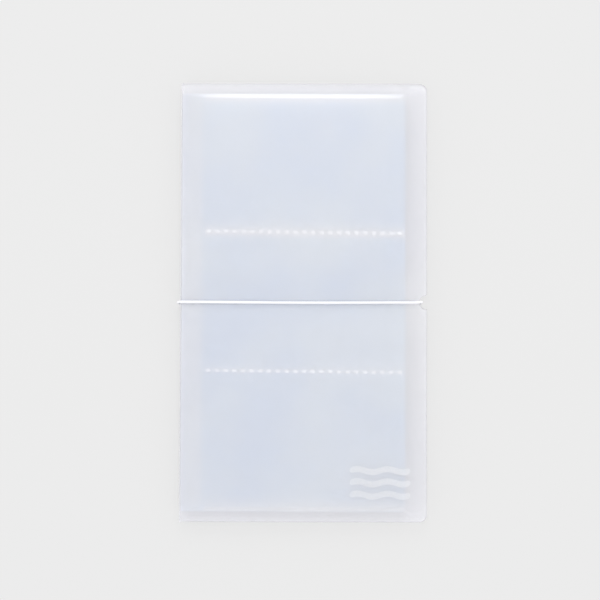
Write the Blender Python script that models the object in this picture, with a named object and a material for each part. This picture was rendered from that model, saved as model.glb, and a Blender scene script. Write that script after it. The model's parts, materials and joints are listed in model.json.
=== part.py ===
"""Pocket album for trading cards: a soft plastic cover folded round ten leaves of three landscape pockets,
held shut by a loop of elastic cord. It lies on its back cover with the spine at -X and the head at +Y."""

import math

import bmesh
import bpy
from mathutils import Matrix, Vector

# Cards and pockets
CARD_LENGTH = 0.088
CARD_WIDTH = 0.063
POCKET_PLAY_LONG = 0.008
POCKET_PLAY_SHORT = 0.0036
POCKETS_PER_LEAF = 3
LEAF_COUNT = 10

# Leaves
FILM_THICKNESS = 0.00015
POCKET_SPACE = 0.0002
LEAF_SPACE = 0.00025
LEAF_CORNER_RADIUS = 0.002
BINDING_MARGIN = 0.009
WELD_WIDTH = 0.0012
WELD_SIDE = 0.0003
WELD_DEPTH = 0.00006
WELD_INSET = 0.0014

# Cover sheet
COVER_THICKNESS = 0.0007
HEAD_OVERHANG = 0.005
FORE_OVERHANG = 0.0105
FORE_CORNER_RADIUS = 0.0035
SPINE_CORNER_RADIUS = 0.001
NOTCH_RADIUS = 0.0035
CREASE_CLEARANCE = 0.00025

# Soft form of the closed cover: how far its rims fall away from its flat field
HEAD_DROP = 0.002
HEAD_SHOULDER = 0.0075
HEAD_BEND = 0.003
FORE_DROP = 0.003
FORE_SHOULDER = 0.013
FORE_BEND = 0.005
BACK_HEAD_SHARE = 0.5
FRONT_DIP = 0.0009
DIP_REACH = 0.018

# Binding strip and elastic band
STRIP_THICKNESS = 0.0012
CORD_DIAMETER = 0.0018
FLOOR_CLEARANCE = 0.00005
PLATE_EASE = 0.00012

# Clearance between pieces that touch on the real album
SEAT_GAP = 0.0003

# Finishes: linear colours, how rough each is and how solid the see-through ones look
FROSTED = (0.72, 0.77, 0.86)
FROSTED_ROUGHNESS = 0.35
FROSTED_ALPHA = 0.55
FILM = (0.68, 0.75, 0.90)
FILM_ROUGHNESS = 0.15
FILM_ALPHA = 0.3
STRIP_ROUGHNESS = 0.3
ELASTIC = (0.93, 0.94, 0.96)
ELASTIC_ROUGHNESS = 0.8

# How finely curves are cut into flats
CORNER_STEPS = 5
NOTCH_STEPS = 6
SHOULDER_STEPS = 4
SPINE_STEPS = 6
DIP_STEPS = 6
LOOP_STEP_ANGLE = math.radians(18)
CORD_BEVEL_RESOLUTION = 2
FLAT_ANGLE = math.radians(0.001)

# Sizes that follow
pocket_length = CARD_LENGTH + POCKET_PLAY_LONG
pocket_pitch = CARD_WIDTH + POCKET_PLAY_SHORT
leaf_width = BINDING_MARGIN + pocket_length
leaf_height = POCKETS_PER_LEAF * pocket_pitch
leaf_pitch = 2 * FILM_THICKNESS + POCKET_SPACE + LEAF_SPACE
binding_depth = COVER_THICKNESS + SEAT_GAP + STRIP_THICKNESS + SEAT_GAP
cover_width = binding_depth + leaf_width + FORE_OVERHANG
half_height = leaf_height / 2 + HEAD_OVERHANG

# Places across the album: the cord outside the spine counts in the middle
cord_proud = SEAT_GAP + CORD_DIAMETER
fore_edge_x = (cover_width + cord_proud) / 2
spine_x = fore_edge_x - cover_width
crease_x = spine_x + COVER_THICKNESS / 2
crease_setback = COVER_THICKNESS / 2 + CREASE_CLEARANCE
rim_x = crease_x + crease_setback
spine_shoulder = binding_depth + BINDING_MARGIN - (rim_x - spine_x)
leaf_root_x = spine_x + binding_depth
notch_x = fore_edge_x - NOTCH_RADIUS

# Levels above the table, from the back cover up
back_crown = FLOOR_CLEARANCE + CORD_DIAMETER + SEAT_GAP
stack_bottom_z = back_crown + COVER_THICKNESS + SEAT_GAP
stack_top_z = stack_bottom_z + LEAF_COUNT * leaf_pitch - LEAF_SPACE
strip_top_z = stack_bottom_z + (LEAF_COUNT - 1) * leaf_pitch + FILM_THICKNESS
front_face_z = stack_top_z + SEAT_GAP + FRONT_DIP + COVER_THICKNESS
front_rim_z = strip_top_z + SEAT_GAP + COVER_THICKNESS
front_crown = front_face_z - front_rim_z
back_crease_z = back_crown + COVER_THICKNESS / 2
front_crease_z = front_rim_z - COVER_THICKNESS / 2


def clear_scene():
    for obj in list(bpy.data.objects):
        bpy.data.objects.remove(obj, do_unlink=True)


def plastic(name, colour, roughness, alpha=1.0):
    """A Principled material for one finish of the album."""
    material = bpy.data.materials.new(name)
    material.use_nodes = True
    shader = material.node_tree.nodes["Principled BSDF"]
    shader.inputs["Base Color"].default_value = (*colour, 1.0)
    shader.inputs["Roughness"].default_value = roughness
    shader.inputs["Metallic"].default_value = 0.0
    shader.inputs["Alpha"].default_value = alpha
    return material


def link(name, data, material, origin=(0, 0, 0), parent=None):
    """Puts an object with its own material into the scene, at an origin given from its parent."""
    obj = bpy.data.objects.new(name, data)
    bpy.context.scene.collection.objects.link(obj)
    obj.location = origin
    obj.parent = parent
    if material:
        data.materials.clear()
        data.materials.append(material)
    return obj


def arc(centre, radius, start, end, steps):
    """Points on an arc in plan, from one angle in degrees to another."""
    points = []
    for step in range(steps + 1):
        angle = math.radians(start + (end - start) * step / steps)
        points.append((centre[0] + radius * math.cos(angle), centre[1] + radius * math.sin(angle)))
    return points


def closed_outline(lower, middle=()):
    """An outline from its lower half, run left to right, points on the centre line, and its mirror image."""
    upper = [(x, -y) for x, y in reversed(lower)]
    return lower + list(middle) + upper


def leaf_outline(left, right, half):
    """A leaf of film: square at the binding, rounded at the fore-edge corners."""
    radius = LEAF_CORNER_RADIUS
    corner = arc((right - radius, radius - half), radius, -90, 0, CORNER_STEPS)
    return closed_outline([(left, -half)] + corner)


def cover_outline():
    """A cover in plan, with the half-round notch that holds the band at its fore-edge."""
    radius = FORE_CORNER_RADIUS
    small = SPINE_CORNER_RADIUS
    spine_corner = arc((rim_x + small, small - half_height), small, 180, 270, CORNER_STEPS)
    fore_corner = arc((fore_edge_x - radius, radius - half_height), radius, -90, 0, CORNER_STEPS)
    notch = arc((fore_edge_x, 0), NOTCH_RADIUS, 270, 180, NOTCH_STEPS)
    return closed_outline(spine_corner + fore_corner + notch[:-1], notch[-1:])


def sheet_mesh(name, outline, x_lines, y_lines, lower, upper):
    """A thin sheet of a given outline, cut along the lines where it bends and pressed to two levels."""
    bm = bmesh.new()
    face = bm.faces.new([bm.verts.new((x, y, 0)) for x, y in outline])
    raised = bmesh.ops.extrude_face_region(bm, geom=[face])["geom"]
    for vert in (item for item in raised if isinstance(item, bmesh.types.BMVert)):
        vert.co.z = 1.0
    for x in x_lines:
        everything = bm.verts[:] + bm.edges[:] + bm.faces[:]
        bmesh.ops.bisect_plane(bm, geom=everything, plane_co=(x, 0, 0), plane_no=(1, 0, 0))
    for y in y_lines:
        everything = bm.verts[:] + bm.edges[:] + bm.faces[:]
        bmesh.ops.bisect_plane(bm, geom=everything, plane_co=(0, y, 0), plane_no=(0, 1, 0))
    bmesh.ops.triangulate(bm, faces=bm.faces[:])
    for vert in bm.verts:
        height = upper if vert.co.z > 0.5 else lower
        vert.co.z = height(vert.co.x, vert.co.y)
    bmesh.ops.dissolve_limit(bm, angle_limit=FLAT_ANGLE, verts=bm.verts[:], edges=bm.edges[:])
    bmesh.ops.recalc_face_normals(bm, faces=bm.faces[:])
    mesh = bpy.data.meshes.new(name)
    bm.to_mesh(mesh)
    bm.free()
    return mesh


def moved_to(mesh, origin):
    """Restates a mesh from an origin on its joint's axis."""
    mesh.transform(Matrix.Translation(-Vector(origin)))
    return mesh


def fall(distance, drop, reach, bend):
    """How far a rim has fallen at a distance from its edge: a slope that a bend joins to the flat field."""
    slope = drop / (reach - bend / 2)
    if distance >= reach:
        return 0.0
    if distance <= reach - bend:
        return drop - slope * distance
    return slope * (reach - distance) ** 2 / (2 * bend)


def spine_share(x):
    """1 at the crease, 0 where the cover reaches the pockets' mouths."""
    along = min(max((x - rim_x) / spine_shoulder, 0.0), 1.0)
    return (1 - along) ** 2


def band_share(y):
    """1 under the elastic band, 0 where its pull on the soft sheet ends."""
    away = min(abs(y) / DIP_REACH, 1.0)
    return (1 - away**2) ** 2


def front_level(x, y):
    """Outer face of the front cover: draped over the leaves, lower at its rims and under the band."""
    head = fall(half_height - abs(y), HEAD_DROP, HEAD_SHOULDER, HEAD_BEND)
    fore = fall(fore_edge_x - x, FORE_DROP, FORE_SHOULDER, FORE_BEND)
    at_spine = spine_share(x)
    drop = front_crown * at_spine + (1 - at_spine) * (math.hypot(head, fore) + FRONT_DIP * band_share(y))
    return front_face_z - drop


def back_level(x, y):
    """Outer face of the back cover: two flat fields on the table, raised at the rims and over the band."""
    head = fall(half_height - abs(y), BACK_HEAD_SHARE, HEAD_SHOULDER, HEAD_BEND)
    fore = fall(fore_edge_x - x, 1.0, FORE_SHOULDER, FORE_BEND)
    flat = (1 - head) * (1 - fore) * (1 - spine_share(x)) * (1 - band_share(y))
    return back_crown * (1 - flat)


def cover_lines():
    """Where the cover sheet is cut to bend: across its spine and fore-edge shoulders, and along it."""
    x_lines = [rim_x + spine_shoulder * step / SPINE_STEPS for step in range(1, SPINE_STEPS + 1)]
    y_lines = [DIP_REACH * step / DIP_STEPS for step in range(-DIP_STEPS, DIP_STEPS + 1)]
    for step in range(SHOULDER_STEPS + 1):
        share = step / SHOULDER_STEPS
        x_lines.append(fore_edge_x - FORE_SHOULDER + FORE_BEND * share)
        head_line = half_height - HEAD_SHOULDER + HEAD_BEND * share
        y_lines += [head_line, -head_line]
    return x_lines, y_lines


def front_inner(x, y):
    return front_level(x, y) - COVER_THICKNESS


def back_inner(x, y):
    return back_level(x, y) + COVER_THICKNESS


def make_cover(name, lower, upper, crease_z):
    """One cover of frosted sheet, with its origin on its crease."""
    x_lines, y_lines = cover_lines()
    axis = (crease_x, 0, crease_z)
    mesh = sheet_mesh(name, cover_outline(), x_lines, y_lines, lower, upper)
    finish = plastic(f"{name}_frosted", FROSTED, FROSTED_ROUGHNESS, FROSTED_ALPHA)
    return link(name, moved_to(mesh, axis), finish, axis)


def plate_mesh(name, low, high):
    """A flat plate between two corners, with the edges that run along the album eased."""
    bm = bmesh.new()
    size = [b - a for a, b in zip(low, high)]
    centre = [(a + b) / 2 for a, b in zip(low, high)]
    place = Matrix.Translation(centre) @ Matrix.Diagonal((*size, 1))
    bmesh.ops.create_cube(bm, size=1.0, matrix=place)
    long_edges = [e for e in bm.edges if abs(e.verts[0].co.y - e.verts[1].co.y) > size[1] / 2]
    bmesh.ops.bevel(bm, geom=long_edges, offset=PLATE_EASE, segments=2, affect="EDGES", profile=0.5)
    mesh = bpy.data.meshes.new(name)
    bm.to_mesh(mesh)
    bm.free()
    return mesh


def make_spine():
    """The panel between the two creases, and the binding strip bonded to its inner face."""
    axis = (crease_x, 0, back_crease_z)
    panel = plate_mesh(
        "spine",
        (spine_x, -half_height, back_crease_z + crease_setback),
        (spine_x + COVER_THICKNESS, half_height, front_crease_z - crease_setback),
    )
    frosted = plastic("spine_frosted", FROSTED, FROSTED_ROUGHNESS, FROSTED_ALPHA)
    spine = link("spine", moved_to(panel, axis), frosted, axis)
    strip_x = spine_x + COVER_THICKNESS + SEAT_GAP
    strip = plate_mesh(
        "binding_strip",
        (strip_x, -leaf_height / 2, stack_bottom_z),
        (strip_x + STRIP_THICKNESS, leaf_height / 2, strip_top_z),
    )
    welded = plastic("binding_strip_welded", FILM, STRIP_ROUGHNESS)
    link("binding_strip", moved_to(strip, axis), welded, parent=spine)
    return spine


def weld_lines():
    """Where the pocket film is welded to its base, measured along the leaf: its ends and between pockets."""
    end = leaf_height / 2 - WELD_INSET
    between = [-leaf_height / 2 + pocket_pitch * count for count in range(1, POCKETS_PER_LEAF)]
    return [-end] + between + [end]


def weld_depth(x, y):
    """How deep the heat-sealing bar has pressed the film here."""
    away = min(abs(y - line) for line in weld_lines())
    away = min(away, abs(leaf_width - WELD_INSET - x))
    return WELD_DEPTH * min(max((WELD_WIDTH / 2 + WELD_SIDE - away) / WELD_SIDE, 0.0), 1.0)


def weld_cuts(line):
    """The four cuts that bound a weld's floor and its sloping sides."""
    floor = WELD_WIDTH / 2
    return [line - floor - WELD_SIDE, line - floor, line + floor, line + floor + WELD_SIDE]


def film_meshes():
    """The two films of a leaf, from an origin at the leaf's root on its turning axis."""
    half = leaf_height / 2
    base_top = FILM_THICKNESS / 2
    pocket_bottom = base_top + POCKET_SPACE
    pocket_top = pocket_bottom + FILM_THICKNESS
    base = sheet_mesh(
        "base_film",
        leaf_outline(0, leaf_width, half),
        [],
        [],
        lambda x, y: -base_top,
        lambda x, y: base_top,
    )
    cuts = [cut for line in weld_lines() for cut in weld_cuts(line)]
    pocket = sheet_mesh(
        "pocket_film",
        leaf_outline(BINDING_MARGIN, leaf_width, half),
        weld_cuts(leaf_width - WELD_INSET),
        cuts,
        lambda x, y: pocket_bottom,
        lambda x, y: pocket_top - weld_depth(x, y),
    )
    return base, pocket


def make_leaves(spine):
    """The leaves, counted from the front cover, each hung from an empty on its own turning axis."""
    base, pocket = film_meshes()
    clear = plastic("clear_film", FILM, FILM_ROUGHNESS, FILM_ALPHA)
    for number in range(1, LEAF_COUNT + 1):
        level = stack_bottom_z + (LEAF_COUNT - number) * leaf_pitch + FILM_THICKNESS / 2
        hinge = link(f"leaf_{number:02d}_hinge", None, None, parent=spine)
        hinge.location = (leaf_root_x - crease_x, 0, level - back_crease_z)
        link(f"leaf_{number:02d}_base_film", base, clear, parent=hinge)
        link(f"leaf_{number:02d}_pocket_film", pocket, clear, parent=hinge)


def convex_outline(points):
    """The points that a taut loop round them touches, in order, counter-clockwise."""

    def turn(a, b, c):
        return (b[0] - a[0]) * (c[1] - a[1]) - (b[1] - a[1]) * (c[0] - a[0])

    ordered = sorted(set(points))
    sides = []
    for run in (ordered, ordered[::-1]):
        side = []
        for point in run:
            while len(side) > 1 and turn(side[-2], side[-1], point) <= 0:
                side.pop()
            side.append(point)
        sides += side[:-1]
    return sides


def offset_loop(corners, distance):
    """A convex outline moved out by a distance, with an arc round each corner."""
    loop = []
    for index, corner in enumerate(corners):
        before = corners[index - 1]
        after = corners[(index + 1) % len(corners)]
        start = math.atan2(corner[1] - before[1], corner[0] - before[0]) - math.pi / 2
        end = math.atan2(after[1] - corner[1], after[0] - corner[0]) - math.pi / 2
        turned = (end - start) % math.tau
        steps = max(1, math.ceil(turned / LOOP_STEP_ANGLE))
        for step in range(steps + 1):
            angle = start + turned * step / steps
            loop.append((corner[0] + distance * math.cos(angle), corner[1] + distance * math.sin(angle)))
    return loop


def band_route():
    """The elastic's centre line, taut round the album's section at mid-height, as (x, z) points."""
    section = []
    for x in [rim_x, *cover_lines()[0], notch_x]:
        if x <= notch_x:
            section += [(x, front_level(x, 0)), (x, back_level(x, 0))]
    section += [(spine_x, front_crease_z - crease_setback), (spine_x, back_crease_z + crease_setback)]
    return offset_loop(convex_outline(section), SEAT_GAP + CORD_DIAMETER / 2)


def make_band():
    """The closed loop of elastic cord."""
    route = band_route()
    curve = bpy.data.curves.new("elastic_band", "CURVE")
    curve.dimensions = "3D"
    curve.bevel_depth = CORD_DIAMETER / 2
    curve.bevel_resolution = CORD_BEVEL_RESOLUTION
    spline = curve.splines.new("POLY")
    spline.points.add(len(route) - 1)
    for point, (x, z) in zip(spline.points, route):
        point.co = (x, 0, z, 1)
    spline.use_cyclic_u = True
    link("elastic_band", curve, plastic("white_elastic", ELASTIC, ELASTIC_ROUGHNESS))


clear_scene()
make_cover("back_cover", back_level, back_inner, back_crease_z)
make_cover("front_cover", front_inner, front_level, front_crease_z)
make_leaves(make_spine())
make_band()
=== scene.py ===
"""A pocket album for trading cards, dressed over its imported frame.
It lies shut on its back cover and is seen from nearly straight above."""

import json
import math

import bmesh
import bpy
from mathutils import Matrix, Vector, noise


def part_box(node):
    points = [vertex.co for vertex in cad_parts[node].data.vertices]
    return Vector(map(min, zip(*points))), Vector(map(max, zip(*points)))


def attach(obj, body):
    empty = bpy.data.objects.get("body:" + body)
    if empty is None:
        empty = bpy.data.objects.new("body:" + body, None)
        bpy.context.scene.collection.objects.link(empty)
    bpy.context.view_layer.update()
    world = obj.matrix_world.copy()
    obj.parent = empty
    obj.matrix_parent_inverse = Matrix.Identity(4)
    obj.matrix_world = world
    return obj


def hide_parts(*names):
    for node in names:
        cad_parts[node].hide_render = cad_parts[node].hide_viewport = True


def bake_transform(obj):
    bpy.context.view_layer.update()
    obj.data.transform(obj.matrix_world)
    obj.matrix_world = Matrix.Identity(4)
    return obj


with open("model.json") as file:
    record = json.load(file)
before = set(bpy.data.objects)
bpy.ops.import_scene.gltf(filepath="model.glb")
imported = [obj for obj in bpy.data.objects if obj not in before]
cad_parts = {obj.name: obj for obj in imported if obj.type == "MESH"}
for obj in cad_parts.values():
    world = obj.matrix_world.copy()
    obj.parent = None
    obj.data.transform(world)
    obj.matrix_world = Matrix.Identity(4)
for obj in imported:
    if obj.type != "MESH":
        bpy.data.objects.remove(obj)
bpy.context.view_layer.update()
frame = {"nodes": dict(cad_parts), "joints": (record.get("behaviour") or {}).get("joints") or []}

MM = 0.001  # lengths are in metres

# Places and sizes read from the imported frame
front_low, front_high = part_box("front_cover")
spine_low, spine_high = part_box("spine")
base_low, base_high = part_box("leaf_01_base_film")
pocket_low, pocket_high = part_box("leaf_01_pocket_film")
next_leaf_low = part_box("leaf_02_base_film")[0]
band_low, band_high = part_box("elastic_band")
hinges = {
    joint["name"]: Vector(joint["pos_m"]) for joint in frame["joints"] if joint["type"] == "hinge"
}
back_crease = hinges["spine_hinge"]
front_crease = hinges["front_cover_hinge"]

rim_x = front_low.x
fore_edge_x = front_high.x
half_height = front_high.y
spine_x = spine_low.x
cover_thickness = spine_high.x - spine_low.x
fold_radius = rim_x - spine_x
front_face_z = front_high.z
front_crown = front_face_z - (front_crease.z + cover_thickness / 2)
back_crown = back_crease.z - cover_thickness / 2
mouth_x = pocket_low.x
spine_shoulder = mouth_x - rim_x
film_thickness = base_high.z - base_low.z
leaf_pitch = base_low.z - next_leaf_low.z
cord_diameter = band_high.y - band_low.y

# The closed cover's soft form, as in the part's source
HEAD_DROP = 2.0 * MM
HEAD_SHOULDER = 7.5 * MM
HEAD_BEND = 3.0 * MM
FORE_DROP = 3.0 * MM
FORE_SHOULDER = 13.0 * MM
FORE_BEND = 5.0 * MM
BACK_HEAD_SHARE = 0.5
FRONT_DIP = 0.9 * MM
DIP_REACH = 18.0 * MM
FORE_CORNER_RADIUS = 3.5 * MM
NOTCH_RADIUS = 3.5 * MM
SEAT_GAP = 0.3 * MM

# Cover details
BEND_STEPS = 6
SHOULDER_STEPS = 8
DIP_STEPS = 9
FIELD_LINES = 9
NOTCH_STEPS = 6
CORNER_STEPS = 7
RIM_LINES = (0.5 * MM, 2.4 * MM)
NOTCH_ROOM = 8.0 * MM
FOLD_STEPS = 8
SPINE_SEAM_HEIGHT = 0.3 * MM
SPINE_SEAM_GAP = 0.03 * MM
COVER_EDGE_EASE = 0.12 * MM
COVER_EDGE_STEPS = 2
COVER_EDGE_ANGLE = math.radians(55)
EAR_WIDTH = 0.3 * MM
EAR_EASE = 0.12 * MM
RIPPLE_HEIGHT = 0.12 * MM
RIPPLE_SIZE = 46.0 * MM

# Print details
PRINT_LEFT = 23.2 * MM
PRINT_RIGHT = 52.0 * MM
PRINT_TOP = -80.4 * MM
PRINT_PITCH = 5.8 * MM
PRINT_STRIPES = 3
PRINT_WIDTH = 2.9 * MM
PRINT_ROUNDING = 0.48 * PRINT_WIDTH
PRINT_WAVE = 0.75 * MM
PRINT_WAVE_LENGTH = 14.4 * MM
PRINT_STEPS = 32
INK_LIFT = 0.04 * MM
INK_THICKNESS = 0.02 * MM

# Leaf details
LEAF_COUNT = 10
POCKETS = 3
ROOT_REACH = 0.25 * MM
LEAF_CORNER_RADIUS = 2.0 * MM
WELD_INSET = 1.4 * MM
WELD_WIDTH = 1.6 * MM
WELD_TILT = math.radians(0.55)
WHITENED_BELOW = 0.6 * WELD_WIDTH
# Above each weld row the white fades out as a painted highlight
WHITENING_AND_HIGHLIGHT_HEIGHT = 6.0 * MM
WHITENING = 0.95
LOWER_ROW = 1  # counted from 0 at the tail
LOWER_ROW_SHARE = 0.4
MARGIN_WHITENING = 0.55
MARGIN_FADE = 2.0 * MM
DASH_COUNT = 23
DASH_LENGTH = 2.0 * MM
DASH_EASE = 0.2 * MM
DASH_HEIGHT = 0.05 * MM
PILLOW_HEIGHT = 0.1 * MM
PILLOW_REACH = 7.0 * MM
MOUTH_STEP = 0.05 * MM
PILLOW_ROWS = 6
LEAF_STRAY = 0.25 * MM
LEAF_STRAY_SEED = 1
FLAT_ENOUGH = 0.7  # the z of a normal past which a face looks up or down
FILM, FILM_UNDER, FUSED_FILM_AND_PAINTED_GLINT, FILM_EDGE = range(4)  # a leaf's material slots

# Elastic details
BRAID_STRANDS = 8
BRAID_PITCH = 1.8 * MM
BRAID_RELIEF = 0.03 * MM
CORD_SIDES = 24
CORD_STEP = 0.16 * MM
CORD_ARC_STEP = math.radians(6)
CORD_SLIP = 0.4 * MM
CORD_SAG = 0.25 * MM
CORD_HOOK = 0.8 * MM
CORD_HOOK_REACH = 9.0 * MM
CORD_NECK = 0.72  # the stretched cord's share of its own thickness

# Finish details. The sheet's grain, the lay of the ink and the yarn are drawn coarser than real,
# so that they show.
SHEET_CLOUD = 38.0 * MM
SHEET_GRAIN = 0.6 * MM
SHEET_RELIEF = 0.05 * MM
FILM_CLOUD = 30.0 * MM
FILM_RELIEF = 0.4 * MM
INK_LAY = 1.2 * MM
INK_RELIEF = 0.02 * MM
YARN_SPACING = 0.35 * MM
YARN_RELIEF = 0.05 * MM

# Studio details
CAMERA_DISTANCE = 1.2
CAMERA_TILT = math.radians(3.57)
CAMERA_ROLL = math.radians(0.18)
CAMERA_AIM = Vector((-0.65 * MM, 0.68 * MM, 12.0 * MM))
FRAME_WIDTH = 286.14 * MM
SENSOR_WIDTH_MM = 36.0
KEY_PLACE = (0, 0.334, 0.564)
KEY_WIDTH = 0.146
KEY_LENGTH = 0.252
KEY_POWER = 0.6
ROOM_LIGHT = 1.06
FLOOR_REACH = 4.0
FLOOR_LEVEL = -0.1 * MM
FLOOR_EVENNESS = 0.8
# The darker paper under the album is painted shade
PAINTED_SHADE_LEVEL = -0.05 * MM
PAINTED_SHADE_EVENNESS = 0.5
SHADE_STRETCH = (1.004, 1.008, 1.0)

# Modelling tolerances
CUT_TOLERANCE = 0.002 * MM
MERGE_TOLERANCE = 0.005 * MM
PICK_TOLERANCE = 0.01 * MM
SMOOTH_ANGLE = math.radians(40)


# Colour and node helpers


def linear(hex_colour):
    """An sRGB hex value as linear red, green, blue and full alpha."""
    channels = []
    for place in (1, 3, 5):
        value = int(hex_colour[place : place + 2], 16) / 255
        channels.append(value / 12.92 if value <= 0.04045 else ((value + 0.055) / 1.055) ** 2.4)
    return (*channels, 1.0)


def add_node(tree, kind, sockets=None, **settings):
    """Adds a node with its settings, and sets or links the sockets that are named."""
    made = tree.nodes.new(kind)
    for name, value in settings.items():
        setattr(made, name, value)
    for name, value in (sockets or {}).items():
        if isinstance(value, bpy.types.NodeSocket):
            tree.links.new(value, made.inputs[name])
        else:
            made.inputs[name].default_value = value
    return made


def new_material(name):
    """An empty node material and its tree."""
    material = bpy.data.materials.new(name)
    material.use_nodes = True
    material.node_tree.nodes.clear()
    return material, material.node_tree


# Materials


def frosted_polypropylene(name, alpha, pale, deep, gloss=1.0):
    """Frosted polypropylene sheet, calendered with a fine matt grain. The eye sees a milky,
    slightly cloudy sheet with a satin sheen, and dimly what lies under it."""
    material, tree = new_material(name)
    place = add_node(tree, "ShaderNodeTexCoord").outputs["Object"]
    cloud = add_node(
        tree, "ShaderNodeTexNoise", {"Vector": place, "Scale": 1 / SHEET_CLOUD, "Detail": 2.0}
    )
    grain = add_node(
        tree, "ShaderNodeTexNoise", {"Vector": place, "Scale": 1 / SHEET_GRAIN, "Detail": 3.0}
    )
    colour = add_node(
        tree,
        "ShaderNodeMix",
        {"Factor": cloud.outputs["Fac"], "A": linear(deep), "B": linear(pale)},
        data_type="RGBA",
    )
    rough = add_node(
        tree,
        "ShaderNodeMapRange",
        {
            "Value": grain.outputs["Fac"],
            "From Min": 0.3,
            "From Max": 0.7,
            "To Min": 0.38,
            "To Max": 0.46,
        },
    )
    bump = add_node(
        tree,
        "ShaderNodeBump",
        {"Height": grain.outputs["Fac"], "Strength": 0.05, "Distance": SHEET_RELIEF},
    )
    shader = add_node(
        tree,
        "ShaderNodeBsdfPrincipled",
        {
            "Base Color": colour.outputs["Result"],
            "Roughness": rough.outputs["Result"],
            "IOR": 1.49,
            "Specular IOR Level": 1.0,
            "Coat Weight": gloss,
            "Coat Roughness": 0.16,
            "Coat IOR": 1.9,
            "Alpha": alpha,
            "Normal": bump.outputs["Normal"],
        },
    )
    add_node(tree, "ShaderNodeOutputMaterial", {"Surface": shader.outputs["BSDF"]})
    return material


def clear_film(name, alpha, pale, deep):
    """Cast polypropylene film. The eye sees a clear, smooth and faintly blue skin whose slow
    ripples bend its shine. The weld attribute says where it is drawn whiter: in the welds, which
    their heat turns white, as a painted highlight fading out above each row, and over the margin
    by the spine."""
    material, tree = new_material(name)
    place = add_node(tree, "ShaderNodeTexCoord").outputs["Object"]
    ripples = add_node(
        tree, "ShaderNodeTexNoise", {"Vector": place, "Scale": 1 / FILM_CLOUD, "Detail": 2.0}
    )
    cloudy = add_node(
        tree,
        "ShaderNodeMapRange",
        {"Value": ripples.outputs["Fac"], "From Min": 0.35, "From Max": 0.65},
    )
    colour = add_node(
        tree,
        "ShaderNodeMix",
        {"Factor": cloudy.outputs["Result"], "A": linear(deep), "B": linear(pale)},
        data_type="RGBA",
    )
    weld = add_node(tree, "ShaderNodeAttribute", attribute_name="weld")
    # Mixes in white by the weld attribute: the welds' own white, and a painted highlight above them
    weld_white_and_painted_highlight = add_node(
        tree,
        "ShaderNodeMix",
        {"Factor": weld.outputs["Fac"], "A": colour.outputs["Result"], "B": linear("#FFFFFF")},
        data_type="RGBA",
    )
    bump = add_node(
        tree,
        "ShaderNodeBump",
        {"Height": ripples.outputs["Fac"], "Strength": 0.3, "Distance": FILM_RELIEF},
    )
    shader = add_node(
        tree,
        "ShaderNodeBsdfPrincipled",
        {
            "Base Color": weld_white_and_painted_highlight.outputs["Result"],
            "Roughness": 0.16,
            "IOR": 1.49,
            "Alpha": alpha,
            "Normal": bump.outputs["Normal"],
        },
    )
    add_node(tree, "ShaderNodeOutputMaterial", {"Surface": shader.outputs["BSDF"]})
    return material


def white_ink():
    """Screen-printed ink. The eye sees a thin, matt white layer that hides about a third of what
    lies under it, a little uneven where the screen laid it on."""
    material, tree = new_material("white_screen_ink")
    place = add_node(tree, "ShaderNodeTexCoord").outputs["Object"]
    lay = add_node(
        tree, "ShaderNodeTexNoise", {"Vector": place, "Scale": 1 / INK_LAY, "Detail": 3.0}
    )
    colour = add_node(
        tree,
        "ShaderNodeMix",
        {"Factor": lay.outputs["Fac"], "A": linear("#F4F6FC"), "B": linear("#FFFFFF")},
        data_type="RGBA",
    )
    bump = add_node(
        tree,
        "ShaderNodeBump",
        {"Height": lay.outputs["Fac"], "Strength": 0.1, "Distance": INK_RELIEF},
    )
    shader = add_node(
        tree,
        "ShaderNodeBsdfPrincipled",
        {
            "Base Color": colour.outputs["Result"],
            "Roughness": 0.55,
            "Alpha": 0.32,
            "Normal": bump.outputs["Normal"],
        },
    )
    add_node(tree, "ShaderNodeOutputMaterial", {"Surface": shader.outputs["BSDF"]})
    return material


def white_elastic():
    """Braided polyester over rubber. The eye sees matt white yarn, with painted shade making it a
    little greyer between its turns."""
    material, tree = new_material("white_braided_elastic")
    along = add_node(tree, "ShaderNodeUVMap", uv_map="braid").outputs["UV"]
    # At a scale of 1 the wave texture repeats every tau / 20
    yarn = add_node(
        tree,
        "ShaderNodeTexWave",
        {
            "Vector": along,
            "Scale": math.tau / 20 / YARN_SPACING,
            "Distortion": 1.2,
            "Detail": 2.0,
        },
    )
    # Greyer between the yarn's turns: painted shade
    colour = add_node(
        tree,
        "ShaderNodeMix",
        {"Factor": yarn.outputs["Fac"], "A": linear("#EFF0F5"), "B": linear("#FCFCFE")},
        data_type="RGBA",
    )
    bump = add_node(
        tree,
        "ShaderNodeBump",
        {"Height": yarn.outputs["Fac"], "Strength": 0.25, "Distance": YARN_RELIEF},
    )
    shader = add_node(
        tree,
        "ShaderNodeBsdfPrincipled",
        {
            "Base Color": colour.outputs["Result"],
            "Roughness": 0.72,
            "Normal": bump.outputs["Normal"],
        },
    )
    add_node(tree, "ShaderNodeOutputMaterial", {"Surface": shader.outputs["BSDF"]})
    return material


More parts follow.
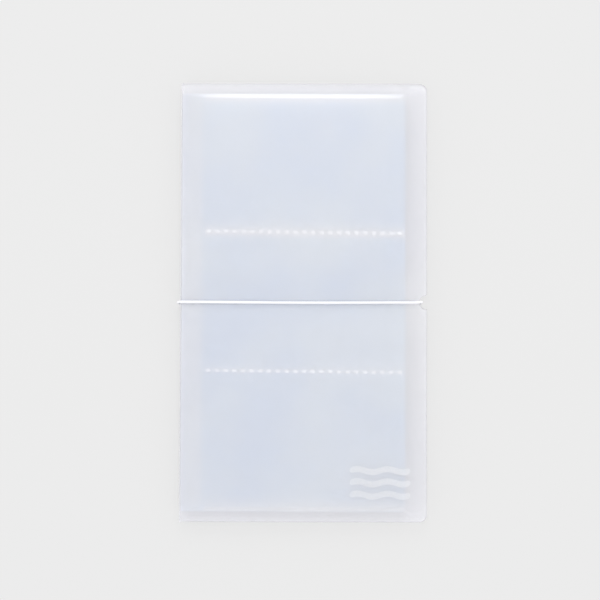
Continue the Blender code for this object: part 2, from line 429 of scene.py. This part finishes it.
def paper(name, tone, level, evenness):
    """Matt pale paper. The eye sees it partly at one even level, so shadows on it stay faint."""
    material, tree = new_material(name)
    lit = add_node(tree, "ShaderNodeBsdfDiffuse", {"Color": linear(tone)})
    even = add_node(tree, "ShaderNodeEmission", {"Color": linear(level)})
    path = add_node(tree, "ShaderNodeLightPath")
    seen = path.outputs["Is Camera Ray"]
    for ray in ("Is Glossy Ray", "Is Transmission Ray"):
        either = add_node(
            tree, "ShaderNodeMath", {0: seen, 1: path.outputs[ray]}, operation="MAXIMUM"
        )
        seen = either.outputs[0]
    share = add_node(tree, "ShaderNodeMath", {0: seen, 1: evenness}, operation="MULTIPLY")
    shader = add_node(
        tree,
        "ShaderNodeMixShader",
        {0: share.outputs[0], 1: lit.outputs[0], 2: even.outputs[0]},
    )
    add_node(tree, "ShaderNodeOutputMaterial", {"Surface": shader.outputs[0]})
    return material


# Modelling helpers


def deselect():
    """Leaves no object selected."""
    bpy.ops.object.select_all(action="DESELECT")


def add_plane(name, left, right, low, high, level):
    """A plane at its size and place, with its object at the origin."""
    deselect()
    middle = ((left + right) / 2, (low + high) / 2, level)
    bpy.ops.mesh.primitive_plane_add(size=1, location=middle)
    piece = bpy.context.object
    piece.name = piece.data.name = name
    piece.scale = (right - left, high - low, 1)
    bpy.ops.object.transform_apply(location=True, rotation=True, scale=True)
    return piece


def pick(piece, wanted):
    """In edit mode, selects the points that are wanted and what lies wholly between them."""
    bm = bmesh.from_edit_mesh(piece.data)
    bpy.ops.mesh.select_all(action="DESELECT")
    for vert in bm.verts:
        if wanted(vert.co):
            vert.select_set(True)
    bm.select_flush(True)
    bmesh.update_edit_mesh(piece.data)


def cut_across(x_lines=(), y_lines=()):
    """In edit mode, cuts the whole piece along lines across x and lines across y."""
    cuts = [((x, 0, 0), (1, 0, 0)) for x in x_lines] + [((0, y, 0), (0, 1, 0)) for y in y_lines]
    for place, normal in cuts:
        bpy.ops.mesh.select_all(action="SELECT")
        bpy.ops.mesh.bisect(plane_co=place, plane_no=normal, threshold=CUT_TOLERANCE)


def round_corner(piece, corner, radius):
    """In edit mode, rounds one corner of a flat sheet."""
    pick(piece, lambda co: (co.xy - Vector(corner)).length < PICK_TOLERANCE)
    bpy.ops.mesh.bevel(offset=radius, segments=CORNER_STEPS, affect="VERTICES")


def apply_modifier(piece, kind, **settings):
    """Adds a modifier with its settings and applies it."""
    modifier = piece.modifiers.new(kind.title(), kind)
    for name, value in settings.items():
        setattr(modifier, name, value)
    bpy.context.view_layer.objects.active = piece
    bpy.ops.object.modifier_apply(modifier=modifier.name)


def smooth(piece, angle=SMOOTH_ANGLE):
    """Shades a piece smoothly, apart from its edges that are sharper than the angle."""
    deselect()
    piece.select_set(True)
    bpy.context.view_layer.objects.active = piece
    bpy.ops.object.shade_smooth_by_angle(angle=angle)


# The cover's soft form


def fall(distance, drop, reach, bend):
    """How far a rim has fallen at a distance from its edge: a slope, and a bend into the field."""
    slope = drop / (reach - bend / 2)
    if distance >= reach:
        return 0.0
    if distance <= reach - bend:
        return drop - slope * distance
    return slope * (reach - distance) ** 2 / (2 * bend)


def spine_share(x):
    """1 at the crease, 0 where the cover reaches the pockets' mouths."""
    along = min(max((x - rim_x) / spine_shoulder, 0.0), 1.0)
    return (1 - along) ** 2


def ear_share(x):
    """0 at the straight crease, which holds the rims up beside it, and 1 where they fall freely."""
    return min(max((x - rim_x) / EAR_WIDTH, 0.0), 1.0)


def band_share(y):
    """1 under the elastic band, 0 where its pull on the soft sheet ends."""
    away = min(abs(y) / DIP_REACH, 1.0)
    return (1 - away**2) ** 2


def ripple(x, y):
    """The slow unevenness of a soft sheet, none at its rims and under the band."""
    from_fore = fore_edge_x - FORE_SHOULDER - x
    from_head = half_height - HEAD_SHOULDER - abs(y)
    share = 1.0
    for inside in (from_fore, x - mouth_x, from_head, abs(y)):
        part = min(max(inside / DIP_REACH, 0.0), 1.0)
        share *= part * part * (3 - 2 * part)
    return RIPPLE_HEIGHT * share * noise.noise(Vector((x, y, 0)) / RIPPLE_SIZE)


def front_level(x, y):
    """Outer face of the front cover: draped over the leaves, low at its rims and under the band."""
    head = fall(half_height - abs(y), HEAD_DROP, HEAD_SHOULDER, HEAD_BEND) * ear_share(x)
    fore = fall(fore_edge_x - x, FORE_DROP, FORE_SHOULDER, FORE_BEND)
    at_spine = spine_share(x)
    dip = (1 - at_spine) * FRONT_DIP * band_share(y)
    drop = math.hypot(head, fore, front_crown * at_spine) + dip
    return front_face_z - drop + ripple(x, y)


def back_level(x, y):
    """Outer face of the back cover: two flat fields, raised at the rims and over the band."""
    head = fall(half_height - abs(y), BACK_HEAD_SHARE, HEAD_SHOULDER, HEAD_BEND)
    fore = fall(fore_edge_x - x, 1.0, FORE_SHOULDER, FORE_BEND)
    flat = (1 - head) * (1 - fore) * (1 - spine_share(x)) * (1 - band_share(y))
    return back_crown * (1 - flat)


# The covers


def cover_lines():
    """Where a cover is cut so that it bends smoothly: lines across x and lines across y."""
    field_left = rim_x + spine_shoulder
    field_right = fore_edge_x - FORE_SHOULDER
    field_width = field_right - field_left
    x_lines = [rim_x + EAR_WIDTH, rim_x + EAR_WIDTH + EAR_EASE]
    x_lines += [rim_x + spine_shoulder * step / SHOULDER_STEPS for step in range(1, SHOULDER_STEPS)]
    x_lines += [field_left + field_width * step / FIELD_LINES for step in range(FIELD_LINES)]
    x_lines += [field_right + FORE_BEND * step / BEND_STEPS for step in range(BEND_STEPS + 1)]
    x_lines += [fore_edge_x - inside for inside in RIM_LINES]
    field_top = half_height - HEAD_SHOULDER
    field_height = field_top - DIP_REACH
    notch_angles = [math.pi / 2 * step / NOTCH_STEPS for step in range(1, NOTCH_STEPS + 1)]
    side = [DIP_REACH * step / DIP_STEPS for step in range(1, DIP_STEPS)]
    side += [NOTCH_RADIUS * math.sin(angle) for angle in notch_angles]
    side += [DIP_REACH + field_height * step / FIELD_LINES for step in range(FIELD_LINES)]
    side += [field_top + HEAD_BEND * step / BEND_STEPS for step in range(BEND_STEPS + 1)]
    side += [half_height - inside for inside in RIM_LINES]
    return x_lines, [0.0] + [sign * y for y in side for sign in (1, -1)]


def cover_blank(name, left, height):
    """A cover as it is cut out, flat: two rounded corners, and a notch for the elastic.
    It is left in edit mode."""
    piece = add_plane(name, left, fore_edge_x, -half_height, half_height, height)
    bpy.ops.object.mode_set(mode="EDIT")
    for end in (-half_height, half_height):
        round_corner(piece, (fore_edge_x, end), FORE_CORNER_RADIUS)
    cut_across(*cover_lines())
    bm = bmesh.from_edit_mesh(piece.data)
    for vert in bm.verts:
        into_room = 1 - (fore_edge_x - vert.co.x) / NOTCH_ROOM
        if into_room > 0 and abs(vert.co.y) < NOTCH_RADIUS:
            vert.co.x -= into_room * math.sqrt(NOTCH_RADIUS**2 - vert.co.y**2)
    bmesh.update_edit_mesh(piece.data)
    return piece


def cover_sheet(name, level, facing, fold_end_z):
    """One cover with its fold and its share of the spine, as a single sheet with eased cut edges.
    Facing is 1 where its outer face looks up, and -1 where it looks down."""
    piece = cover_blank(name, rim_x, 0)
    if facing < 0:
        bpy.ops.mesh.select_all(action="SELECT")
        bpy.ops.mesh.flip_normals()
    bm = bmesh.from_edit_mesh(piece.data)
    for vert in bm.verts:
        vert.co.z = level(vert.co.x, vert.co.y)
    bmesh.update_edit_mesh(piece.data)
    fold_z = level(rim_x, 0) - facing * fold_radius
    pick(piece, lambda co: co.x < rim_x + PICK_TOLERANCE)
    bpy.ops.mesh.spin(
        steps=FOLD_STEPS,
        angle=facing * math.pi / 2,
        center=(rim_x, 0, fold_z),
        axis=(0, 1, 0),
    )
    down_the_spine = (0, 0, fold_end_z - fold_z)
    bpy.ops.mesh.extrude_region_move(TRANSFORM_OT_translate={"value": down_the_spine})
    bpy.ops.mesh.select_all(action="SELECT")
    bpy.ops.mesh.remove_doubles(threshold=MERGE_TOLERANCE)
    bpy.ops.object.mode_set(mode="OBJECT")
    apply_modifier(
        piece,
        "SOLIDIFY",
        thickness=cover_thickness,
        offset=-1,
        material_offset=1,
        material_offset_rim=2,
    )
    apply_modifier(
        piece,
        "BEVEL",
        width=COVER_EDGE_EASE,
        segments=COVER_EDGE_STEPS,
        limit_method="ANGLE",
        angle_limit=COVER_EDGE_ANGLE,
    )
    smooth(piece)
    return piece


def make_covers(outside, inside, edge):
    """The front cover with the spine, and the back cover, each bending at its own crease."""
    seam_z = spine_low.z + SPINE_SEAM_HEIGHT
    front = cover_sheet("front_sheet", front_level, 1, seam_z + SPINE_SEAM_GAP)
    back = cover_sheet("back_sheet", back_level, -1, seam_z)
    for piece in (front, back):
        for finish in (outside, inside, edge):
            piece.data.materials.append(finish)
    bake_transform(front)
    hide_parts("front_cover", "spine")
    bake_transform(back)
    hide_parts("back_cover")


def make_print(finish):
    """A plain motif on the front cover, near the tail: wavy stripes of ink with round ends."""
    step = (PRINT_RIGHT - PRINT_LEFT) / PRINT_STEPS
    for number in range(PRINT_STRIPES):
        name = f"printed_stripe_{number + 1}"
        middle = PRINT_TOP - PRINT_PITCH * number
        low, high = middle - PRINT_WIDTH / 2, middle + PRINT_WIDTH / 2
        piece = add_plane(name, PRINT_LEFT, PRINT_RIGHT, low, high, front_face_z)
        piece.data.materials.append(finish)
        bpy.ops.object.mode_set(mode="EDIT")
        for x in (PRINT_LEFT, PRINT_RIGHT):
            for y in (low, high):
                round_corner(piece, (x, y), PRINT_ROUNDING)
        cut_across([PRINT_LEFT + step * count for count in range(1, PRINT_STEPS)], [middle])
        bm = bmesh.from_edit_mesh(piece.data)
        for vert in bm.verts:
            x = vert.co.x
            turn = math.tau * (x - PRINT_LEFT) / PRINT_WAVE_LENGTH
            y = vert.co.y + PRINT_WAVE * math.sin(turn)
            vert.co = (x, y, front_level(x, y) + INK_LIFT)
        bmesh.update_edit_mesh(piece.data)
        bpy.ops.object.mode_set(mode="OBJECT")
        apply_modifier(piece, "SOLIDIFY", thickness=INK_THICKNESS, offset=1)
        smooth(piece)
        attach(piece, "front")


# The leaves


def weld_rows():
    """The y of each weld across the leaf, from the tail: at its ends, and between its pockets."""
    pitch = (base_high.y - base_low.y) / POCKETS
    between = [base_low.y + pitch * count for count in range(1, POCKETS)]
    return [base_low.y + WELD_INSET, *between, base_high.y - WELD_INSET]


def dash_places():
    """The x of each dash in a welded row, from the pockets' mouths to near the fore edge."""
    room = pocket_high.x - WELD_INSET - DASH_LENGTH / 2 - mouth_x
    pitch = room / (DASH_COUNT - 0.5)
    return [mouth_x + pitch * (count + 0.5) for count in range(DASH_COUNT)]


def pocket_level(x, y):
    """Upper face of the pocket film: down on the leaf at its welds, a little off it elsewhere."""
    rows = weld_rows()
    lift = min(max((pocket_high.x - WELD_INSET - x) / PILLOW_REACH, 0.0), 1.0)
    rise = 0.0
    for low, high in zip(rows, rows[1:]):
        inside = min(y - low, high - y) - WELD_WIDTH / 2
        if inside > 0:
            rise = min(inside / PILLOW_REACH, 1.0)
    rise *= lift
    welded = base_high.z + film_thickness
    return welded + (pocket_high.z + PILLOW_HEIGHT - welded) * rise * (2 - rise)


def weld_whitening_and_painted_highlight(y):
    """How white the film is drawn at a weld: most in the row, where its heat turns it white, and
    fading out above it as a painted highlight.
    """
    for count, row in enumerate(weld_rows()):
        above = y - row + WHITENED_BELOW
        if 0 < above < WHITENING_AND_HIGHLIGHT_HEIGHT:
            strength = WHITENING * LOWER_ROW_SHARE if count == LOWER_ROW else WHITENING
            return strength * (1 - above / WHITENING_AND_HIGHLIGHT_HEIGHT)
    return 0.0


def weld_shift(x, y):
    """How far a weld between pockets runs out of square, which the film takes up on either side."""
    pitch = (base_high.y - base_low.y) / POCKETS
    share = max(0.0, 1 - min(abs(y - row) for row in weld_rows()[1:-1]) / (pitch / 2))
    off_middle = (mouth_x + pocket_high.x) / 2 - x
    return math.tan(WELD_TILT) * off_middle * min(2 * share, 1.0)


def leaf_lines(rows, dashes):
    """Where a leaf is cut: lines across x at the mouths and dashes, lines across y at the welds."""
    x_lines = [mouth_x - MARGIN_FADE, mouth_x, mouth_x + MOUTH_STEP]
    x_lines += [x + side * DASH_LENGTH / 2 for x in dashes for side in (-1, 1)]
    fade = (-WHITENED_BELOW, WHITENING_AND_HIGHLIGHT_HEIGHT / 2, WHITENING_AND_HIGHLIGHT_HEIGHT)
    y_lines = [row + side * WELD_WIDTH / 2 for row in rows for side in (-1, 1)]
    y_lines += [row + offset for row in rows[:-1] for offset in fade]
    for low, high in zip(rows, rows[1:]):
        y_lines += [low + (high - low) * step / PILLOW_ROWS for step in range(1, PILLOW_ROWS)]
        y_lines += [low + PILLOW_REACH, high - PILLOW_REACH / 2, high - PILLOW_REACH]
    return x_lines, y_lines


def leaf(film, film_under, fused_film_and_painted_glint, film_edge):
    """One leaf of three pockets: a film, and over it a pocket film that rows of dashes weld down.
    It is modelled as the one closed skin that the two films make together."""
    rows = weld_rows()
    dashes = dash_places()
    root_x = base_low.x - ROOT_REACH
    piece = add_plane("leaf", root_x, base_high.x, base_low.y, base_high.y, base_low.z)
    for finish in (film, film_under, fused_film_and_painted_glint, film_edge):
        piece.data.materials.append(finish)
    bpy.ops.object.mode_set(mode="EDIT")
    for end in (base_low.y, base_high.y):
        round_corner(piece, (base_high.x, end), LEAF_CORNER_RADIUS)
    cut_across(*leaf_lines(rows, dashes))
    bpy.ops.mesh.select_all(action="SELECT")
    bpy.ops.mesh.extrude_region_move(TRANSFORM_OT_translate={"value": (0, 0, film_thickness)})

    bm = bmesh.from_edit_mesh(piece.data)
    weld = bm.verts.layers.float.new("weld")
    for vert in bm.verts:
        x, y, z = vert.co
        upper = z > base_low.z + film_thickness / 2
        if upper and x < mouth_x + MOUTH_STEP / 2:
            vert[weld] = MARGIN_WHITENING if x < mouth_x - MARGIN_FADE / 2 else 0.0
        elif upper:
            # The weld rows are drawn white, with a painted highlight fading out above each
            vert[weld] = weld_whitening_and_painted_highlight(y)
            vert.co = (x, y + weld_shift(x, y), pocket_level(x, y))
    bm.normal_update()
    for face in bm.faces:
        middle = face.calc_center_median()
        square_y = middle.y - weld_shift(middle.x, middle.y)
        off_row = min(abs(square_y - row) for row in rows[1:-1])
        off_dash = min(abs(middle.x - x) for x in dashes)
        facing_up = face.normal.z > FLAT_ENOUGH
        if facing_up:
            face.material_index = FILM
        elif face.normal.z < -FLAT_ENOUGH:
            face.material_index = FILM_UNDER
        else:
            face.material_index = FILM_EDGE
        face.select_set(facing_up and off_row < WELD_WIDTH / 4 and off_dash < DASH_LENGTH / 4)
    bmesh.update_edit_mesh(piece.data)

    # The dashes are drawn opaque white, partly as a painted glint
    piece.active_material_index = FUSED_FILM_AND_PAINTED_GLINT
    bpy.ops.object.material_slot_assign()
    bpy.ops.mesh.inset(thickness=DASH_EASE, depth=DASH_HEIGHT, use_individual=True)
    bpy.ops.object.mode_set(mode="OBJECT")
    smooth(piece)
    return piece


def leaf_copy(first, number):
    """A copy of the first leaf with its own mesh, in its place below and a little out of line."""
    deselect()
    first.select_set(True)
    bpy.context.view_layer.objects.active = first
    bpy.ops.object.duplicate()
    stray = noise.noise_vector(Vector((number, 0.5, 0.5))) * LEAF_STRAY
    stretch = 1 + abs(stray.x) / (base_high.x - base_low.x)
    bpy.ops.object.mode_set(mode="EDIT")
    bpy.ops.mesh.select_all(action="SELECT")
    bpy.ops.transform.resize(value=(stretch, 1, 1), center_override=(base_low.x, 0, 0))
    bpy.ops.transform.translate(value=(0, stray.y, -leaf_pitch * (number - 1)))
    bpy.ops.object.mode_set(mode="OBJECT")
    return bpy.context.object


def make_leaves(*finishes):
    """The first leaf, and its copies under it, none lying quite square on the next."""
    noise.seed_set(LEAF_STRAY_SEED)  # without it noise_vector differs from run to run
    first = leaf(*finishes)
    for number in range(1, LEAF_COUNT + 1):
        body = f"leaf_{number:02d}"
        piece = first if number == 1 else leaf_copy(first, number)
        piece.name = piece.data.name = body
        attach(piece, body)
        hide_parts(f"{body}_base_film", f"{body}_pocket_film")


# The elastic band


def convex_outline(points):
    """The points that a taut loop round them touches, in order, counter-clockwise."""

    def turn(a, b, c):
        return (b[0] - a[0]) * (c[1] - a[1]) - (b[1] - a[1]) * (c[0] - a[0])

    ordered = sorted(set(points))
    outline = []
    for run in (ordered, ordered[::-1]):
        side = []
        for point in run:
            while len(side) > 1 and turn(side[-2], side[-1], point) <= 0:
                side.pop()
            side.append(point)
        outline += side[:-1]
    return outline


def band_route():
    """The elastic's centre line, taut round the album's section at mid-height, in even steps."""
    section = [(spine_x, spine_low.z), (spine_x, spine_high.z)]
    notch_x = fore_edge_x - NOTCH_RADIUS
    for x in [rim_x, *cover_lines()[0], notch_x]:
        if x <= notch_x:
            section += [(x, front_level(x, 0)), (x, back_level(x, 0))]
    corners = convex_outline(section)
    distance = SEAT_GAP + CORD_NECK * cord_diameter / 2
    loop = []
    for index, corner in enumerate(corners):
        before = corners[index - 1]
        after = corners[(index + 1) % len(corners)]
        start = math.atan2(corner[1] - before[1], corner[0] - before[0]) - math.pi / 2
        end = math.atan2(after[1] - corner[1], after[0] - corner[0]) - math.pi / 2
        turned = (end - start) % math.tau
        steps = max(1, math.ceil(turned / CORD_ARC_STEP))
        for step in range(steps + 1):
            angle = start + turned * step / steps
            x = corner[0] + distance * math.cos(angle)
            z = corner[1] + distance * math.sin(angle)
            loop.append(Vector((x, 0, z)))
    points = []
    for start, end in zip(loop, loop[1:] + loop[:1]):
        steps = max(1, round((end - start).length / CORD_STEP))
        points += [start.lerp(end, step / steps) for step in range(steps)]
    return points


def band_line():
    """The route as the elastic lies: slipped and sagging to the tail, hooked up at the notch."""
    line = band_route()
    width = fore_edge_x - spine_x
    for point in line:
        along = min(max((point.x - spine_x) / width, 0.0), 1.0)
        sag = CORD_SAG * math.sin(math.pi * along) ** 2
        hooked = max(0.0, 1 - (1 - along) * width / CORD_HOOK_REACH)
        point.y = -CORD_SLIP - sag + CORD_HOOK * hooked**2
    return line


def make_band(finish):
    """The closed loop of round braided elastic, its strands raised on a tube."""
    line = band_line()
    count = len(line)
    across = Vector((0, 1, 0))
    bm = bmesh.new()
    braid = bm.loops.layers.uv.new("braid")
    rings = []
    lengths = []
    length = 0.0
    for index, point in enumerate(line):
        after = line[(index + 1) % count]
        forward = (after - line[index - 1]).normalized()
        up = forward.cross(across).normalized()
        twist = math.tau * length / BRAID_PITCH
        ring = []
        for number in range(CORD_SIDES):
            angle = math.tau * number / CORD_SIDES
            turn = BRAID_STRANDS / 2 * angle
            strands = math.cos(turn + twist) * math.cos(turn - twist)
            radius = CORD_NECK * cord_diameter / 2 - BRAID_RELIEF * (0.5 - 0.5 * strands)
            outward = math.cos(angle) * across + math.sin(angle) * up
            ring.append(bm.verts.new(point + radius * outward))
        rings.append(ring)
        lengths.append(length)
        length += (after - point).length
    for index in range(count):
        ring, next_ring = rings[index], rings[(index + 1) % count]
        near, far = lengths[index], lengths[index] + CORD_STEP
        for number in range(CORD_SIDES):
            beside = (number + 1) % CORD_SIDES
            face = bm.faces.new((ring[number], ring[beside], next_ring[beside], next_ring[number]))
            left = number / CORD_SIDES * math.pi * cord_diameter
            right = (number + 1) / CORD_SIDES * math.pi * cord_diameter
            places = ((near, left), (near, right), (far, right), (far, left))
            for corner, place in zip(face.loops, places):
                corner[braid].uv = place
    bmesh.ops.recalc_face_normals(bm, faces=bm.faces[:])
    mesh = bpy.data.meshes.new("elastic_loop")
    bm.to_mesh(mesh)
    bm.free()
    piece = bpy.data.objects.new("elastic_loop", mesh)
    bpy.context.scene.collection.objects.link(piece)
    mesh.materials.append(finish)
    smooth(piece, math.pi)
    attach(piece, "band")
    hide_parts("elastic_band")


def dress_strip(finish):
    """The welded strip in the spine keeps its shape from the frame, in its own film."""
    strip = frame["nodes"]["binding_strip"]
    strip.data.materials.clear()
    strip.data.materials.append(finish)


# The studio


def make_floor():
    """A wide floor, and on it a darker paper where the album lies, as painted shade. That part is a
    little larger than a cover, as the raised cover hides more of the floor than its own size."""
    ends = (-FLOOR_REACH, FLOOR_REACH)
    floor = add_plane("floor", *ends, *ends, FLOOR_LEVEL)
    floor.data.materials.append(paper("pale_paper", "#E2E2E2", "#EBEBEB", FLOOR_EVENNESS))
    painted_shade_patch = cover_blank("painted_shade_under_album", spine_x, PAINTED_SHADE_LEVEL)
    bpy.ops.mesh.select_all(action="SELECT")
    camera_foot_y = -CAMERA_DISTANCE * math.sin(CAMERA_TILT)
    bpy.ops.transform.resize(value=SHADE_STRETCH, center_override=(spine_x, camera_foot_y, 0))
    bpy.ops.object.mode_set(mode="OBJECT")
    # Its darker tone and darker even level are painted shade under the album
    painted_shade_patch.data.materials.append(paper("painted_shade_paper", "#B4B4B4", "#B8B8B8", PAINTED_SHADE_EVENNESS))


def make_light():
    """A softbox whose reflection is the bright line along the head, in a pale, evenly lit room."""
    deselect()
    bpy.ops.object.light_add(type="AREA", location=KEY_PLACE)
    key = bpy.context.object
    key.name = "key_softbox"
    key.data.shape = "RECTANGLE"
    key.data.size = KEY_WIDTH
    key.data.size_y = KEY_LENGTH
    key.data.energy = KEY_POWER
    key.rotation_euler = (-math.atan2(KEY_PLACE[1], KEY_PLACE[2]), 0, 0)
    world = bpy.data.worlds.new("soft_room")
    bpy.context.scene.world = world
    world.use_nodes = True
    room = world.node_tree.nodes["Background"]
    room.inputs["Color"].default_value = linear("#FFFFFF")
    room.inputs["Strength"].default_value = ROOM_LIGHT


def make_camera():
    """Nearly straight above, leaning a little towards the tail."""
    deselect()
    away = Vector((0, -math.sin(CAMERA_TILT), math.cos(CAMERA_TILT))) * CAMERA_DISTANCE
    bpy.ops.object.camera_add(location=CAMERA_AIM + away)
    camera = bpy.context.object
    camera.data.sensor_width = SENSOR_WIDTH_MM
    camera.data.lens = SENSOR_WIDTH_MM * CAMERA_DISTANCE / FRAME_WIDTH
    camera.rotation_mode = "ZYX"
    camera.rotation_euler = (CAMERA_TILT, 0, CAMERA_ROLL)
    bpy.context.scene.camera = camera


# The pieces. A cover's outer face carries the frosting, and a film's upper face its tint,
# so the faces on their other sides hide almost nothing.
make_covers(
    frosted_polypropylene("frosted_sheet", alpha=0.33, pale="#FBFBFF", deep="#F6F6FE"),
    frosted_polypropylene("smooth_sheet", alpha=0.04, pale="#FBFBFF", deep="#F6F6FE"),
    # The cut edges are drawn a darker grey than the sheet, as painted shade along the rims
    frosted_polypropylene(
        "frosted_cut_edge_painted_shade", alpha=0.55, pale="#D8DAE2", deep="#D0D2DA", gloss=0.0
    ),
)
make_leaves(
    clear_film("clear_film", alpha=0.54, pale="#DEEFFF", deep="#CAE3FF"),
    clear_film("clear_film_under", alpha=0.04, pale="#DEEFFF", deep="#CAE3FF"),
    # The dashes are opaque white: the fused film's own white, and a painted glint of the raised
    # dots
    clear_film("fused_film_and_painted_glint", alpha=1.0, pale="#FFFFFF", deep="#FCFCFF"),
    clear_film("cut_film_edge", alpha=0.9, pale="#EDF4FC", deep="#E2ECF8"),
)
make_print(white_ink())
make_band(white_elastic())
dress_strip(clear_film("welded_strip", alpha=0.8, pale="#E6ECF8", deep="#D8E0F0"))

# The studio round them
make_floor()
make_light()
make_camera()
bpy.context.scene.view_settings.view_transform = "Standard"
